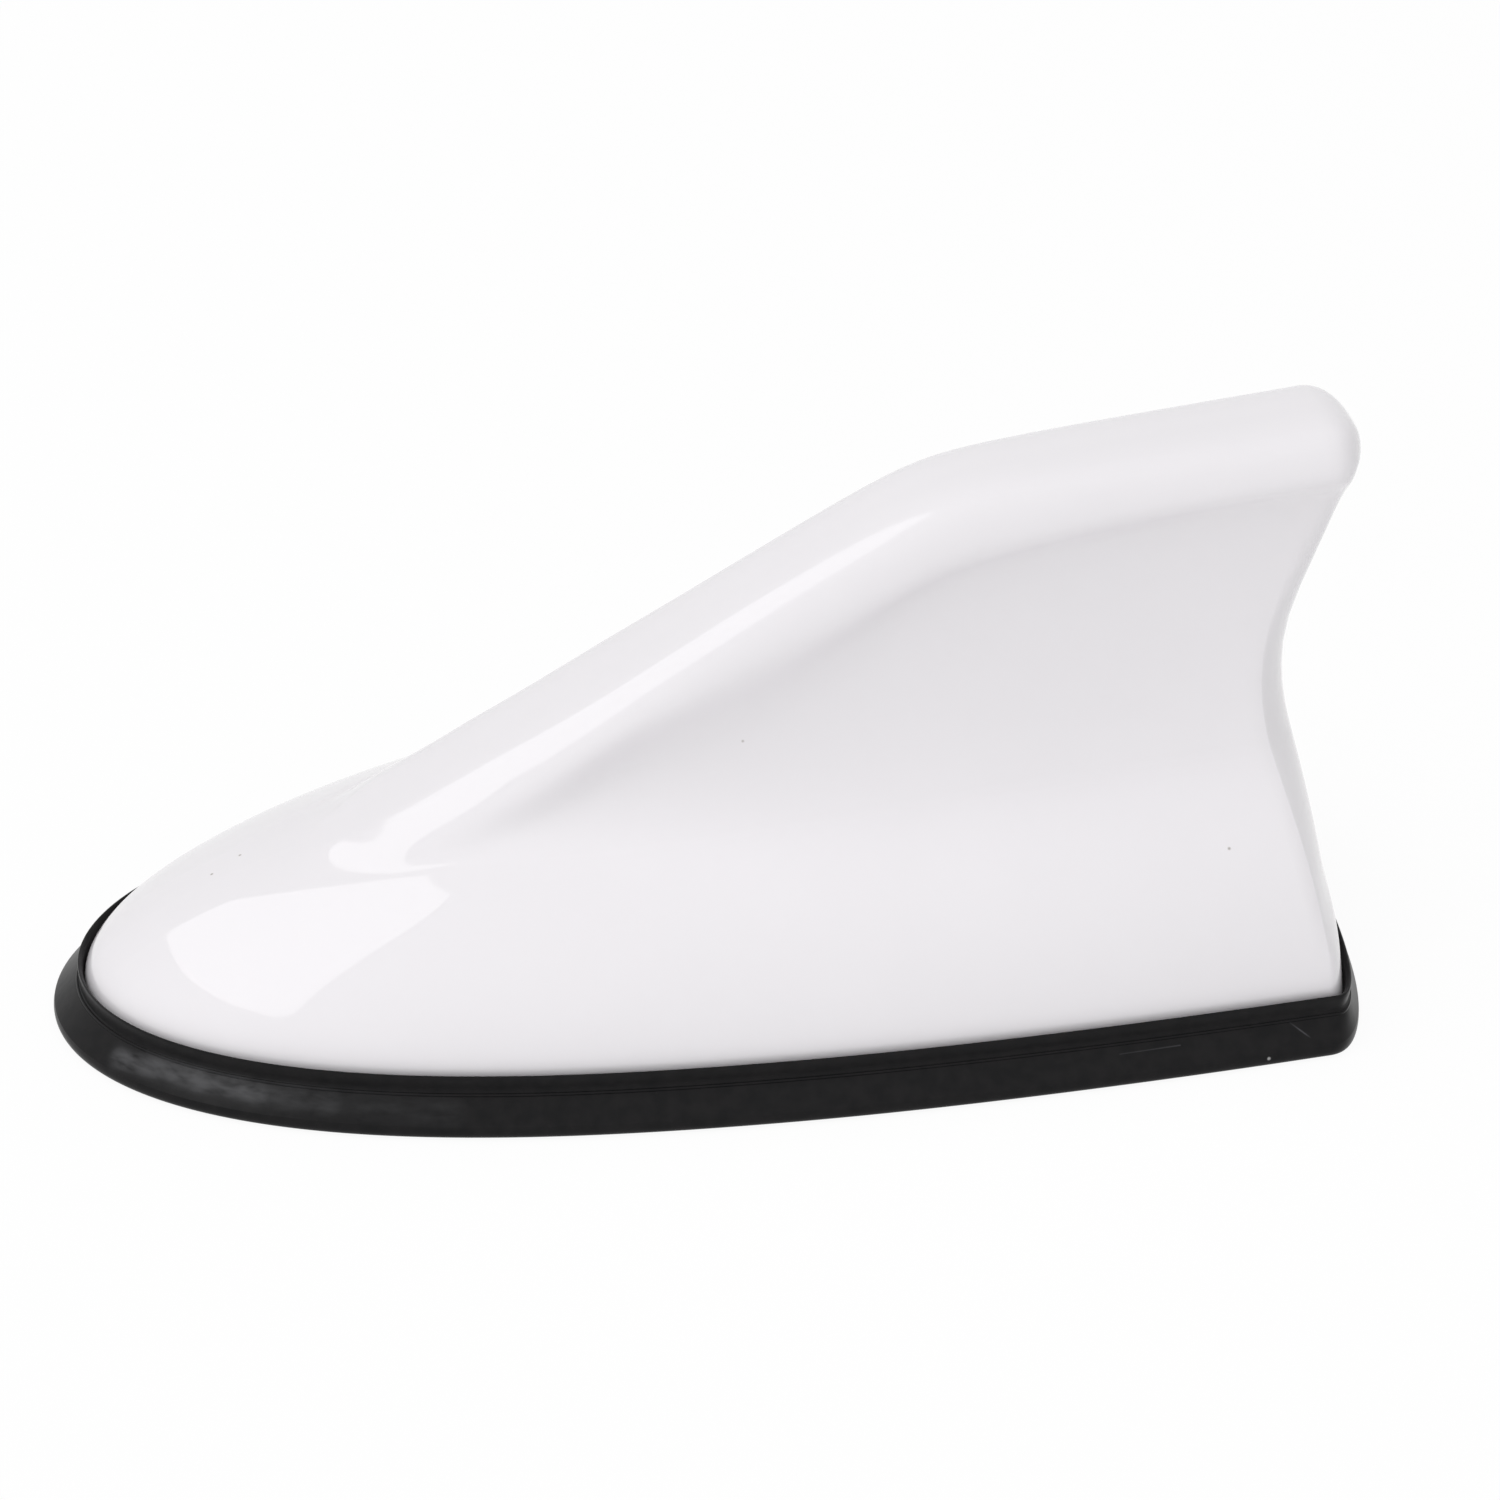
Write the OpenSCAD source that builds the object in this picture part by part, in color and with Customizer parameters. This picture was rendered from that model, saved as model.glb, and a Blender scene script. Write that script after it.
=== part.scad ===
// Shark fin roof aerial: a gloss moulded shell on a rubber gasket, closed by a base plate that
// carries the circuit board, the aerial coil and the radiator. Nose towards -X, +Z up, and the
// origin on the roof under the middle of the gasket.

/* [Footprint] */
// Length of the gasket's lip, nose to rear
lip_l = 160; // [150:1:174]
// Width of the gasket's lip at its widest
lip_w = 75.6; // [71:0.2:80]
// How blunt the nose is in plan
nose_power = 4.2; // [3.4:0.1:4.8]
// Share of the width that the plan loses towards the rear
rear_taper = 0.06; // [0:0.01:0.12]
// Depth of the rounded rear end in plan, at the rim
rear_round = 5.2; // [4.5:0.1:7]
// Squareness of the rear end in plan
rear_power = 2.4; // [2.2:0.1:3]

/* [Dome] */
// Height of the dome over the rim behind its rounded nose
dome_h = 20; // [17:0.5:22]
// Rise of the dome's crown from there to the rear
dome_rise = 12.6; // [9:0.1:14]
// Length over which the nose rounds up
dome_l = 52; // [46:1:58]
// Bluntness of the nose's profile
dome_power = 1.4; // [1.3:0.1:2]
// Roundness of the dome's cross-section
side_round = 1.92; // [1.6:0.02:2.2]

/* [Fin] */
// Height of the fin's front slope a quarter of the length from the nose
slope_foot_h = 25.8; // [25:0.2:29]
// Angle of the fin's front slope
slope_angle = 31.8; // [29:0.2:33]
// Height of the ridge an eighth of the length behind the middle
ridge_h = 67.4; // [60:0.2:72]
// Angle at which the ridge goes on rising
ridge_angle = 4.4; // [3:0.1:9]
// How far the ridge bows down (up if below 0) towards its rear
ridge_bow = -0.7; // [-1:0.1:2]
// Length of the bend between front slope and ridge
ridge_bend = 3.4; // [1:0.1:6]
// Softness of the dip between dome and fin
dip_blend = 7.5; // [1:0.1:9]
// Half width of the ridge's top
ridge_hw = 8; // [7:0.1:9]
// How far the ridge widens down to its lower edge
beam_out = 2.2; // [1.4:0.1:3]
// Height of the ridge's side at the rear
shoulder_d = 6; // [5:0.1:7]
// How far the fin's side draws in under the ridge
neck_in = 1.8; // [1:0.1:2.5]
// Half width of the fin's foot on the dome
root_hw = 16.2; // [14:0.1:17]
// Depth of the ridge's rounded rear end
tip_round = 8.3; // [6:0.1:9]
// Squareness of the ridge's rear end
tip_power = 3.2; // [2.4:0.1:4]
// Drop of the ridge over its rounded rear end
tip_drop = 7.5; // [5:0.1:10]
// How far the rear edge is cut forward at its waist
waist_in = 4.3; // [2:0.1:6]
// How far the rear edge reaches back at the tip
tip_back = 4.6; // [3.5:0.1:7]

/* [Shell] */
// Wall of the shell
wall = 2.2; // [1.8:0.1:2.6]
// Gap at the rim between the lip's top edge line and the shell
lip_gap = 0.8; // [0.8:0.1:1.6]
// Outer radius of the shell's screw bosses
boss_r = 3.2; // [2.9:0.1:3.6]

/* [Gasket] */
// Height of the gasket's lip above the roof
lip_h = 7.2; // [6.8:0.1:8.2]
// How far the gasket's skirt stands out past its lip
skirt_out = 3.3; // [2.6:0.1:4]
// Share of that by which the skirt is shorter at the rear
skirt_cut = 0.5; // [0.3:0.05:0.7]
// How much deeper the skirt's rear end is rounded, as a multiple of how far it stands out
skirt_round = 1.3; // [0:0.1:2]
// Thickness of the flange clamped under the shell's rim
flange_t = 1.2; // [1:0.1:1.4]

/* [Base plate] */
// Gap between the roof and the plate
roof_gap = 1.5; // [1.4:0.1:2]
// Thickness of the plate
plate_t = 2; // [1.8:0.1:2.6]
// Height of the plate's locating wall
locator_h = 3; // [2:0.5:5]
// Thickness of the adhesive foam pads
pad_t = 1.6; // [1.4:0.1:1.9]
// Radius of the base screws' thread
screw_r = 1.45; // [1.2:0.05:1.6]
// Length of the base screws under the head
screw_l = 12; // [9:0.5:14]
// Radius of the hole for the lead in its grommet
gland_bore_r = 1.6; // [1.3:0.1:2]

/* [Electronics] */
// Length of the circuit board
board_l = 54; // [50:1:58]
// Width of the circuit board
board_w = 24; // [23:1:28]
// Thickness of the circuit board
board_t = 1.6; // [1.2:0.1:2]
// Height of the posts that carry the board
post_h = 5; // [4:0.5:7]
// Radius of the board screws' thread
board_screw_r = 0.95; // [0.8:0.05:1.1]
// Mean radius of the aerial winding
coil_r = 3; // [2.8:0.1:3.3]
// Radius of the winding's wire
wire_r = 0.45; // [0.35:0.05:0.5]
// Turns of the aerial winding
coil_turns = 10; // [7:1:12]
// Thickness of the radiator sheet
sheet_t = 0.6; // [0.4:0.1:0.8]

/* [Hidden] */

// Stations round one half of the plan, and points over one half of a section
side_n = 24;
cap_n = 8;
outer_n = 22;
inner_n = 12;
row_n = side_n + cap_n;

// Nose and rear of the lip, with the origin in the middle of the overall length: from the
// skirt's nose to the ridge's rounded tip, which lies just in front of the full reach
tip_reach = 0.98 * tip_back - lip_gap;
nose_x = -(lip_l + tip_reach - skirt_out) / 2;
tail_x = nose_x + lip_l;

// Levels
plate_top = roof_gap + plate_t;
rim_z = plate_top + flange_t;
board_z = plate_top + post_h;
board_top = board_z + board_t;

// Clearances and small sizes
seat_gap = 0.1;
flange_in = 4.2;
plate_in = lip_gap + 1.9;
locator_in = lip_gap + flange_in + 0.3;
locator_t = 1.6;
screw_gap = 0.1;
head_r = 2.8;
head_h = 1.1;
pad_recess = 0.3;
pad_edge = 0.067 * lip_w;
small_fn = 32;

// Places along the length, as shares of it
foot_x = nose_x + lip_l / 4;
bend_x = tail_x - 3 / 8 * lip_l;
front_screw_x = -0.35 * lip_l;
mid_screw_x = 0.03 * lip_l;
rear_screw_x = 0.365 * lip_l;
mid_screw_y = 0.29 * lip_w;
rear_screw_y = 0.26 * lip_w;
board_x0 = 8;
board_x1 = board_x0 + board_l;
post_in = 4;
socket_room = 9;
coil_room = 21;
holder_x0 = board_x0 + socket_room;
holder_l = board_l - socket_room - coil_room;
coil_x = board_x1 - 10;

screw_points = [[front_screw_x, 0], [mid_screw_x, mid_screw_y], [mid_screw_x, -mid_screw_y],
    [rear_screw_x, rear_screw_y], [rear_screw_x, -rear_screw_y]];
post_y = board_w / 2 - 3;
post_points = [for (x = [board_x0 + post_in, board_x1 - post_in], y = [-post_y, post_y]) [x, y]];

function smooth_max(a, b, soft) = (a + b + sqrt((a - b) ^ 2 + soft ^ 2)) / 2;
function smooth_min(a, b, soft) = (a + b - sqrt((a - b) ^ 2 + soft ^ 2)) / 2;
function clamp(v, low, high) = min(max(v, low), high);
function ease(v) = let (c = clamp(v, 0, 1)) c * c * (3 - 2 * c);

// Cubic B-spline through a list of numbers or points, u from 0 to the number of its spans
function spline_at(q, u) =
    let (i = min(floor(u), len(q) - 4), t = u - i)
    ((1 - t) ^ 3 * q[i] + (3 * t ^ 3 - 6 * t ^ 2 + 4) * q[i + 1]
        + (-3 * t ^ 3 + 3 * t ^ 2 + 3 * t + 1) * q[i + 2] + t ^ 3 * q[i + 3]) / 6;

// Plan outline at a distance inside the lip's edge line
function station(i) = 1 - cos(90 * min(i, side_n) / side_n);
function cap_angle(i) = 90 * max(i - side_n, 0) / cap_n;
function cap_y(i, power) = i == row_n ? 0 : cos(cap_angle(i)) ^ (2 / power);
function cap_x(i, power) = sin(cap_angle(i)) ^ (2 / power);
function side_x(t, inset, depth = rear_round) = nose_x + inset + (lip_l - 2 * inset - depth) * t;
function side_w(t, inset) =
    (lip_w / 2 - inset) * sqrt(1 - (1 - t) ^ nose_power) * (1 - rear_taper * max(0, (t - 0.55) / 0.45) ^ 2);
function plan_point(i, inset) =
    let (t = station(i), skirt = max(-inset, 0), depth = rear_round + skirt_round * skirt,
        rear_inset = inset + skirt * skirt_cut * t ^ 12)
    [side_x(t, rear_inset, depth) + depth * cap_x(i, rear_power), side_w(t, inset) * cap_y(i, rear_power)];
function plan_loop(inset) = concat(
    [for (i = [0:row_n]) plan_point(i, inset)],
    [for (i = [row_n - 1:-1:1]) let (p = plan_point(i, inset)) [p.x, -p.y]]);

// Heights on the middle plane, inset by a wall: the dome alone, and dome, front slope and ridge
function dome_run(x, inset) = clamp((x - nose_x - lip_gap - inset) / dome_l, 0, 1);
function dome_z(x, inset) =
    let (rise = dome_rise * clamp((x - nose_x - lip_gap) / lip_l, 0, 1))
    rim_z + (dome_h + rise - inset) * sqrt(1 - (1 - dome_run(x, inset)) ^ dome_power);
function spine_z(x, inset) =
    let (run = dome_run(x, inset),
        slope = slope_foot_h - inset / cos(slope_angle) + (x - foot_x) * tan(slope_angle),
        back = (x - bend_x) / (tail_x - bend_x),
        ridge = ridge_h - inset + (x - bend_x) * tan(ridge_angle) - ridge_bow * back * abs(back))
    run == 0 ? rim_z : smooth_max(dome_z(x, inset), smooth_min(slope, ridge, ridge_bend), dip_blend * run);

// Rear edge: how far it lies behind the rim's rear at a height
function rim_share(z) = (z - rim_z) / (ridge_h - rim_z);
waist_steps = [-0.24, -0.67, -1.26, -0.95];
tip_steps = [0.15, 1];
function rear_shift(z) =
    let (c = concat(waist_steps * waist_in, tip_steps * tip_back),
        q = concat([-c[0], 0], c, [2 * c[5] - c[4]]))
    spline_at(q, 6 * clamp(rim_share(z), 0, 0.999));
function rear_depth(z) = rear_round + (tip_round - rear_round) * clamp(rim_share(z), 0, 1);
function end_power(z) = rear_power + (tip_power - rear_power) * clamp(rim_share(z), 0, 1);

// Quarter of a superellipse as wide as the dome, at an angle up from the rim
function dome_arc(half, height, a) =
    [half * cos(a) ^ (2 / side_round), rim_z + height * sin(a) ^ (2 / side_round)];

// One half section: control points from the top centre down to the rim. In front it is the dome
// alone. Behind, the fin stands on the dome: a low hump first, and once it is high enough a ridge
// that widens to its lower edge, a side drawn in under it and a foot flared out onto the dome.
section_k = 12;
root_k = 8;
shoulder_steps = [0.45, 0.45, 0.45, 0.5, 1.6, 1, 1, 1];
function hump(root, top, rise) = [[0.48 * root, top - 0.1 * rise], [0.65 * root, top - 0.33 * rise],
    [0.76 * root, top - 0.57 * rise], [0.85 * root, top - 0.79 * rise], [0.92 * root, top - 0.93 * rise]];
function upright(ridge, root, top, rise, depth) =
    let (beam = ridge + beam_out, neck = beam - neck_in)
    [[ridge, top - 0.2 * depth], [beam, top - 0.85 * depth], [beam - 0.5, top - 1.25 * depth],
        [neck, top - 2.1 * depth], [neck + 0.3 * (root - neck), top - 0.7 * rise - 0.6 * depth]];
function section_controls(t, top, crown, half, inset) =
    let (blend = ease((t - 0.17) / 0.09),
        full = half + inset,
        ridge = min(ridge_hw, 0.6 * full) - inset,
        root = min(root_hw * (1 - 1.25 * clamp(1 - t / 0.6, 0, 0.8) ^ 3), 0.8 * full) - inset,
        root_a = acos((root / half) ^ (side_round / 2)),
        foot = dome_arc(half, crown - rim_z, root_a),
        rise = top - foot.y,
        stand = ease((rise - 5) / 14),
        fin = concat([[0, top], [0.62 * ridge, top]],
            hump(root, top, rise) * (1 - stand)
                + upright(ridge, root, top, rise, shoulder_d * spline_at(shoulder_steps, 5 * t)) * stand,
            [foot]))
    [for (k = [0:section_k])
        let (low = (section_k - k) / (section_k - root_k),
            a = k < root_k ? 90 - (90 - root_a) * k / root_k : root_a * low,
            dome = dome_arc(half, crown - rim_z, a))
        dome * (1 - blend) + blend * (k < root_k ? fin[k] : dome)];

function section(i, inset, count) =
    let (t = station(i), x = side_x(t, lip_gap + inset), half = side_w(t, lip_gap + inset),
        c = section_controls(t, spine_z(x, inset), dome_z(x, inset), half, inset),
        q = concat([c[0], c[0]], c, [c[section_k], c[section_k]]))
    [for (k = [0:count]) spline_at(q, (section_k + 2) * k / count)];

// One station of the shell's surface, swept back along the rear edge
sweep_power = 4;
function shell_row(i, inset, count) =
    let (t = station(i), x = side_x(t, lip_gap + inset), rear_x = tail_x - lip_gap - inset)
    [for (p = section(i, inset, count))
        i <= side_n
            ? [x + (rear_shift(p.y) + rear_round - rear_depth(p.y)) * t ^ sweep_power, p.x, p.y]
            : let (power = end_power(p.y), close = cap_y(i, power),
                z = rim_z + (p.y - rim_z) * (1 - tip_drop / ridge_h * (1 - close)))
                [rear_x + rear_shift(z) - rear_depth(z) * (1 - cap_x(i, power)), p.x * close, z]];

// Point numbers of a skin: the nose is one point, and the last station lies on the middle plane
function skin_id(i, j, m) = i == 0 ? 0 : i < row_n ? 1 + (i - 1) * (2 * m + 1) + j + m
    : 1 + (row_n - 1) * (2 * m + 1) + abs(j);
function skin_size(m) = 1 + (row_n - 1) * (2 * m + 1) + m + 1;
function skin_points(inset, m) =
    let (rows = [for (i = [1:row_n]) shell_row(i, inset, m)])
    concat([[nose_x + lip_gap + inset, 0, rim_z]],
        [for (i = [0:row_n - 2], j = [-m:m]) let (p = rows[i][abs(j)]) [p.x, sign(j) * p.y, p.z]],
        [for (j = [0:m]) let (p = rows[row_n - 1][j]) [p.x, 0, p.z]]);
function triangles(a, b, c, d) = [
    if (a != b && b != c && a != c) [a, b, c],
    if (a != c && c != d && a != d) [a, c, d]];
function skin_faces(m) = [for (i = [0:row_n - 1], j = [-m:m - 1])
    each triangles(skin_id(i, j, m), skin_id(i, j + 1, m), skin_id(i + 1, j + 1, m), skin_id(i + 1, j, m))];
function flipped(faces, offset) = [for (f = faces) [for (k = [len(f) - 1:-1:0]) f[k] + offset]];

// Solid inside a skin, closed flat at the rim
module fin_solid(inset, m) {
    floor_faces = [for (i = [0:row_n - 1])
        each triangles(skin_id(i, m, m), skin_id(i, -m, m), skin_id(i + 1, -m, m), skin_id(i + 1, m, m))];
    polyhedron(skin_points(inset, m), concat(skin_faces(m), floor_faces));
}

// Moulded wall between the outer and the inner skin, with its flat rim
module shell_wall() {
    start = skin_size(outer_n);
    rim = [for (i = [0:row_n - 1], side = [1, -1])
        let (a = skin_id(i, side * outer_n, outer_n), b = skin_id(i + 1, side * outer_n, outer_n),
            c = start + skin_id(i + 1, side * inner_n, inner_n),
            d = start + skin_id(i, side * inner_n, inner_n))
        each side > 0 ? triangles(a, d, c, b) : triangles(a, b, c, d)];
    polyhedron(concat(skin_points(0, outer_n), skin_points(wall, inner_n)),
        concat(skin_faces(outer_n), flipped(skin_faces(inner_n), start), rim));
}

module fin_shell() {
    color([0.93, 0.92, 0.93])
    difference() {
        union() {
            shell_wall();
            intersection() {
                fin_solid(wall / 2, inner_n);
                screw_columns(boss_r, rim_z - 1, ridge_h);
            }
            screw_columns(boss_r, plate_top, rim_z + 1);
        }
        screw_columns(screw_r + screw_gap, plate_top - 1, roof_gap + screw_l + 1);
    }
}

module screw_columns(r, z0, z1) {
    for (p = screw_points)
        translate([p.x, p.y, z0])
        cylinder(r = r, h = z1 - z0, $fn = small_fn);
}

// Gasket section as distance out from the lip's edge line and height above the roof
lip_in = lip_gap - seat_gap;
gasket_profile = [[-plate_in + seat_gap, 0], [skirt_out - 0.7, 0], [skirt_out - 0.2, 0.3],
    [skirt_out, 0.9], [skirt_out - 0.15, 1.7], [skirt_out - 0.9, 2.9], [skirt_out - 2.3, 4],
    [-0.25, rim_z - 0.1], [-0.3, rim_z + 0.3], [-0.1, lip_h - 1.4], [0.05, lip_h - 0.3], [-0.03, lip_h],
    [0.1 - 0.5 * lip_in, lip_h], [-0.8 * lip_in, lip_h - 0.5], [-lip_in, lip_h - 1.5], [-lip_in, rim_z],
    [-lip_gap - flange_in, rim_z], [-lip_gap - flange_in, plate_top], [-plate_in + seat_gap, plate_top]];

module gasket() {
    loops = [for (p = gasket_profile) plan_loop(-p.x)];
    n = len(loops[0]);
    m = len(gasket_profile);
    color([0.09, 0.09, 0.1])
    polyhedron(
        [for (k = [0:m - 1], p = loops[k]) [p.x, p.y, gasket_profile[k].y]],
        [for (k = [0:m - 1], i = [0:n - 1])
            let (k2 = (k + 1) % m, i2 = (i + 1) % n)
            each triangles(k * n + i, k * n + i2, k2 * n + i2, k2 * n + i)]);
}

module plan_slab(inset, z0, h) {
    translate([0, 0, z0])
    linear_extrude(h)
    polygon(plan_loop(inset));
}

module base_plate() {
    color([0.16, 0.16, 0.17])
    difference() {
        union() {
            plan_slab(plate_in, roof_gap, plate_t);
            difference() {
                plan_slab(locator_in, plate_top, locator_h);
                plan_slab(locator_in + locator_t, plate_top, locator_h + 1);
                screw_columns(boss_r + 0.3, plate_top, plate_top + locator_h + 1);
            }
            for (p = post_points)
                translate([p.x, p.y, plate_top])
                cylinder(r = 2.6, h = post_h, $fn = small_fn);
            for (y = [-post_y, post_y])
                translate([board_x0 + post_in, y - 0.6, plate_top])
                cube([board_l - 2 * post_in, 1.2, post_h - 1.5]);
        }
        screw_columns(screw_r + screw_gap, roof_gap - 1, plate_top + 1);
        for (p = post_points)
            translate([p.x, p.y, plate_top - 0.5])
            cylinder(r = board_screw_r + 0.05, h = post_h + 1, $fn = small_fn);
        cylinder(r = gland_neck_r + 0.05, h = plate_top + 1, $fn = small_fn);
        for (name = ["front", "left", "right", "rear"])
            pad_area(name, roof_gap - 1, 1 + pad_recess);
    }
}

module base_screws() {
    color([0.7, 0.7, 0.72])
    for (p = screw_points)
        translate([p.x, p.y, roof_gap])
        difference() {
            union() {
                translate([0, 0, -head_h]) cylinder(r = head_r, h = head_h, $fn = small_fn);
                cylinder(r = screw_r, h = screw_l, $fn = small_fn);
            }
            for (turn = [0, 90])
                rotate([0, 0, turn])
                translate([-1.5, -0.3, -head_h - 1])
                cube([3, 0.6, 1.7]);
        }
}

// Areas of the adhesive pads under the plate
function pad_span(name) = name == "front" ? [-0.5 * lip_l, -0.16 * lip_l] : name == "rear"
    ? [0.27 * lip_l, 0.5 * lip_l] : [-0.14 * lip_l, 0.25 * lip_l];
module pad_area(name, z0, h) {
    span = pad_span(name);
    middle = 0.16 * lip_w;
    low_y = name == "left" ? middle : -lip_w;
    high_y = name == "right" ? -middle : lip_w;
    difference() {
        intersection() {
            plan_slab(plate_in + pad_edge, z0, h);
            translate([span[0], low_y, z0]) cube([span[1] - span[0], high_y - low_y, h]);
        }
        screw_columns(head_r + 1.2, z0 - 1, z0 + h + 1);
    }
}
module pad(name) {
    color([0.75, 0.16, 0.13])
    pad_area(name, roof_gap + pad_recess - pad_t, pad_t);
}

// Rubber grommet in the plate
gland_neck_r = 3.9;
gland_flange_r = 5.2;
gland_low = 1;
gland_top = 8;
module cable_gland() {
    color([0.12, 0.12, 0.12])
    rotate_extrude($fn = 48)
    polygon([[gland_bore_r, roof_gap - gland_low], [gland_flange_r, roof_gap - gland_low],
        [gland_flange_r, roof_gap], [gland_neck_r, roof_gap], [gland_neck_r, plate_top],
        [gland_flange_r, plate_top], [gland_flange_r - 0.6, plate_top + 1.2],
        [gland_bore_r + 1.6, plate_top + 1.8], [gland_bore_r + 1, gland_top], [gland_bore_r, gland_top]]);
}

module circuit_board() {
    color([0.1, 0.35, 0.2])
    difference() {
        translate([board_x0, -board_w / 2, board_z]) cube([board_l, board_w, board_t]);
        for (p = post_points)
            translate([p.x, p.y, board_z - 1])
            cylinder(r = board_screw_r + 0.15, h = board_t + 2, $fn = small_fn);
    }
}

board_screw_l = 4.5;
module board_screws() {
    color([0.75, 0.75, 0.77])
    for (p = post_points)
        translate([p.x, p.y, board_top]) {
            cylinder(r = 1.9, h = 1.2, $fn = small_fn);
            translate([0, 0, -board_screw_l])
            cylinder(r = board_screw_r, h = board_screw_l + 0.5, $fn = small_fn);
        }
}

// The can fills the board between its edge, the radiator sheet and the contact spring
spring_w = 3;
spring_x = holder_x0 + holder_l - spring_w - 0.6;
can_gap = 1.3;
can_x = board_x0 + 0.24 * board_l;
can_l = spring_x - can_gap - can_x;
can_y0 = -board_w / 2 + 0.8;
can_span = -sheet_t / 2 - 2.5 * can_gap - can_y0;
can_h = 3.4;
can_t = 0.3;
chip_l = 5;
module amplifier_chip() {
    color([0.1, 0.1, 0.1])
    translate([can_x + (can_l - chip_l) / 2, can_y0 + (can_span - chip_l) / 2, board_top])
    cube([chip_l, chip_l, 1.1]);
}
module shield_can() {
    color([0.78, 0.78, 0.75])
    difference() {
        translate([can_x, can_y0, board_top]) cube([can_l, can_span, can_h]);
        translate([can_x + can_t, can_y0 + can_t, board_top - 1])
        cube([can_l - 2 * can_t, can_span - 2 * can_t, can_h + 1 - can_t]);
    }
}

module tuning_coil() {
    color([0.3, 0.2, 0.15])
    translate([can_x + 4, 7.5, board_top])
    rotate_extrude($fn = small_fn)
    polygon([[0, 0], [3, 0], [3, 0.8], [2, 0.8], [2, 3.4], [3, 3.4], [3, 4.2], [0, 4.2]]);
}

module capacitors() {
    color([0.2, 0.22, 0.3])
    for (k = [0:2])
        translate([can_x + 11 + 5 * k, 7, board_top])
        cylinder(r = 1.9, h = 5, $fn = small_fn);
}

module lead_socket() {
    socket_z = board_top + 2.4;
    reach = 3;
    color([0.8, 0.7, 0.35])
    difference() {
        union() {
            translate([board_x0 + 0.5, -2.6, board_top]) cube([6, 5.2, 4.8]);
            translate([board_x0 - reach, 0, socket_z])
            rotate([0, 90, 0])
            cylinder(r = 2.2, h = reach + 1, $fn = small_fn);
        }
        translate([board_x0 - reach - 1, 0, socket_z])
        rotate([0, 90, 0])
        cylinder(r = 1.3, h = reach + 3, $fn = small_fn);
    }
}

holder_h = 4;
holder_w = 4;
slot_floor = 1.2;
module radiator_holder() {
    color([0.85, 0.84, 0.8])
    difference() {
        translate([holder_x0, -holder_w / 2, board_top]) cube([holder_l, holder_w, holder_h]);
        translate([holder_x0 - 1, -sheet_t / 2 - 0.05, board_top + slot_floor])
        cube([holder_l + 2, sheet_t + 0.1, holder_h]);
    }
}

// Upright sheet that follows the fin's slope inside the shell
roof_clear = 4;
module radiator() {
    x0 = holder_x0 + 0.5;
    x1 = holder_x0 + holder_l - 0.5;
    frame = 3;
    color([0.8, 0.8, 0.78])
    translate([0, sheet_t / 2, 0])
    rotate([90, 0, 0])
    linear_extrude(sheet_t)
    difference() {
        polygon(concat([[x1, board_top + slot_floor], [x0, board_top + slot_floor]],
            [for (k = [0:6]) let (x = x0 + (x1 - x0) * k / 6) [x, spine_z(x, wall) - roof_clear]]));
        for (k = [0:3])
            translate([x0 + frame, board_top + 4 * frame + 7 * k])
            square([x1 - x0 - 2 * frame, 3]);
    }
}

module contact_spring() {
    foot_y = 6;
    leaf_t = 0.3;
    knee_y = holder_w / 2 + 0.4;
    touch_y = sheet_t / 2 + 0.05;
    touch_z = holder_h + 4;
    color([0.85, 0.72, 0.4])
    translate([spring_x + spring_w, 0, board_top])
    rotate([90, 0, -90])
    linear_extrude(spring_w)
    polygon([[foot_y, 0], [foot_y, leaf_t], [knee_y + 2 * leaf_t, leaf_t],
        [knee_y + leaf_t, holder_h + 0.6], [touch_y + leaf_t, touch_z],
        [touch_y + 4 * leaf_t, touch_z + 2], [touch_y + 3 * leaf_t, touch_z + 2.2],
        [touch_y, touch_z], [knee_y, holder_h + 0.5], [knee_y + leaf_t, 0]]);
}

former_r = coil_r - wire_r - 0.15;
former_foot_r = 4.6;
cap_r = 2.8;
cap_h = 5;
cap_gap = 0.8;
former_top = spine_z(coil_x - cap_r, wall) - cap_gap - cap_h;
coil_z0 = board_top + 4;
coil_z1 = former_top - 3;
module coil_former() {
    color([0.9, 0.9, 0.86])
    union() {
        translate([coil_x, 0, board_top]) cylinder(r = former_foot_r, h = 1.5, $fn = small_fn);
        translate([coil_x, 0, board_top])
        cylinder(r = former_r, h = former_top - board_top, $fn = small_fn);
        translate([coil_x, 0, former_top - 1]) cylinder(r = coil_r + wire_r, h = 1, $fn = small_fn);
    }
}

// Round wire swept up the helix
wire_sides = 6;
turn_steps = 16;
module aerial_coil() {
    count = coil_turns * turn_steps;
    pitch = (coil_z1 - coil_z0) / coil_turns;
    ring = [for (i = [0:count], k = [0:wire_sides - 1])
        let (a = 360 * i / turn_steps, b = 360 * k / wire_sides, r = coil_r + wire_r * cos(b))
        [coil_x + r * cos(a), r * sin(a), coil_z0 + pitch * i / turn_steps + wire_r * sin(b)]];
    last = count * wire_sides;
    color([0.75, 0.45, 0.25])
    polyhedron(ring, concat(
        [for (i = [0:count - 1], k = [0:wire_sides - 1])
            let (k2 = (k + 1) % wire_sides, a = i * wire_sides)
            each triangles(a + k, a + k2, a + k2 + wire_sides, a + k + wire_sides)],
        [[for (k = [wire_sides - 1:-1:0]) k]],
        [[for (k = [0:wire_sides - 1]) last + k]]));
}

module foam_cap() {
    color([0.3, 0.3, 0.32])
    translate([coil_x, 0, former_top])
    cylinder(r = cap_r, h = cap_h, $fn = small_fn);
}

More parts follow.
